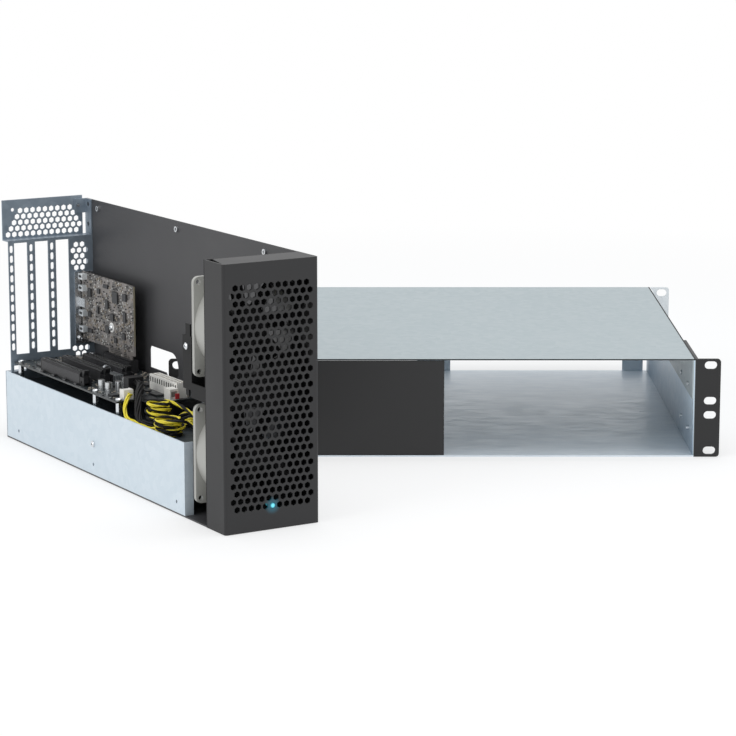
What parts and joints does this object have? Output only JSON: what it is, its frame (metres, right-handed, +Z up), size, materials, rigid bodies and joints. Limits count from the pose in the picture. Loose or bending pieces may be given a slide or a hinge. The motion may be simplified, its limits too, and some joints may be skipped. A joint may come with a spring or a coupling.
{
  "type": "pcie expansion chassis",
  "caption": "Half-width expansion module with fans, riser board and slotted rear panel, standing open in front of its two-unit rack enclosure with ears.",
  "frame": {"origin": "centre of the enclosure's underside", "axes": "+X to the right along the rack width, -Y out of the front, +Z up"},
  "size_m": [0.6363, 0.668, 0.216],
  "materials": {
    "black_paint": "fine textured black powder coat",
    "charcoal_paint": "satin charcoal powder coat",
    "galvanised": "galvanised sheet with faint spangle",
    "galvanised_dark": "grey galvanised sheet",
    "zinc_steel": "bright zinc-plated steel",
    "fan_plastic": "grey moulded plastic",
    "black_plastic": "moulded black plastic",
    "white_plastic": "moulded white nylon",
    "board": "dark solder-masked circuit board",
    "chip": "moulded black chip packages",
    "capacitor_can": "bright aluminium cans",
    "sink": "milled aluminium",
    "grommet_rubber": "soft black rubber",
    "light_pipe": "clear moulded light pipe, lit cyan",
    "black_wire": "black wire in a braided sleeve",
    "yellow_wire": "yellow and black wire insulation"
  },
  "bodies": {
    "enclosure": {"enclosure_floor": "galvanised", "side_wall_left": "galvanised", "side_wall_right": "galvanised", "enclosure_lid": "galvanised", "blank_panel": "black_paint", "front_ear_left": "black_paint", "front_ear_right": "black_paint", "rear_ear_left": "zinc_steel", "rear_ear_right": "zinc_steel", "enclosure_screws": "zinc_steel"},
    "module": {"base_plate": "black_paint", "side_panel": "black_paint", "power_bay_wall": "galvanised", "board_tray": "galvanised", "rear_vent_plate": "galvanised_dark", "rear_panel": "galvanised_dark", "rear_lower_panel": "galvanised_dark", "front_frame": "black_paint", "front_bezel": "charcoal_paint", "light_pipe": "light_pipe", "fan_frame_lower": "fan_plastic", "fan_frame_upper": "fan_plastic", "fan_screws": "black_paint", "card_retainer": "black_paint", "m3_screws": "zinc_steel", "clinch_nuts": "zinc_steel", "power_supply": "galvanised", "mains_inlet": "black_plastic", "cable_grommet": "grommet_rubber", "expansion_board": "board", "board_standoffs": "zinc_steel", "slot_connector_1": "black_plastic", "slot_connector_2": "black_plastic", "slot_connector_3": "black_plastic", "host_connector": "black_plastic", "power_header": "white_plastic", "lead_header": "white_plastic", "board_plug": "black_plastic", "capacitors": "capacitor_can", "board_chips": "chip", "heatsink": "sink", "host_card": "board", "host_bracket": "zinc_steel", "host_ports": "zinc_steel", "host_chips": "chip", "board_lead_black": "black_wire", "board_lead_yellow": "yellow_wire", "aux_lead_a_tube": "yellow_wire", "aux_lead_a_coil": "yellow_wire", "aux_plug_a": "black_plastic", "aux_lead_b_tube": "yellow_wire", "aux_lead_b_coil": "yellow_wire", "aux_plug_b": "black_plastic"},
    "lower_fan_rotor": {"fan_rotor_lower": "black_plastic"},
    "upper_fan_rotor": {"fan_rotor_upper": "black_plastic"},
    "latch_1": {"slot_latch_1": "black_plastic"},
    "latch_2": {"slot_latch_2": "black_plastic"},
    "latch_3": {"slot_latch_3": "black_plastic"}
  },
  "joints": [
    {"name": "module_lift", "type": "slide", "parent": "enclosure", "child": "module", "axis": [0, 0, 1], "range_m": [0, 0.25]},
    {"name": "lower_fan_spin", "type": "hinge", "parent": "module", "child": "lower_fan_rotor", "pos_m": [-0.16419, -0.41405, 0.0543], "axis": [-0.5173, 0.8558, 0], "continuous": true},
    {"name": "upper_fan_spin", "type": "hinge", "parent": "module", "child": "upper_fan_rotor", "pos_m": [-0.16419, -0.41405, 0.1563], "axis": [-0.5173, 0.8558, 0], "continuous": true},
    {"name": "latch_1_swing", "type": "hinge", "parent": "module", "child": "latch_1", "pos_m": [-0.30979, -0.23541, 0.075], "axis": [0.8558, 0.5173, 0], "range_deg": [0, 25]},
    {"name": "latch_2_swing", "type": "hinge", "parent": "module", "child": "latch_2", "pos_m": [-0.2924, -0.2249, 0.075], "axis": [0.8558, 0.5173, 0], "range_deg": [0, 25]},
    {"name": "latch_3_swing", "type": "hinge", "parent": "module", "child": "latch_3", "pos_m": [-0.27501, -0.21439, 0.075], "axis": [0.8558, 0.5173, 0], "range_deg": [0, 25]}
  ]
}
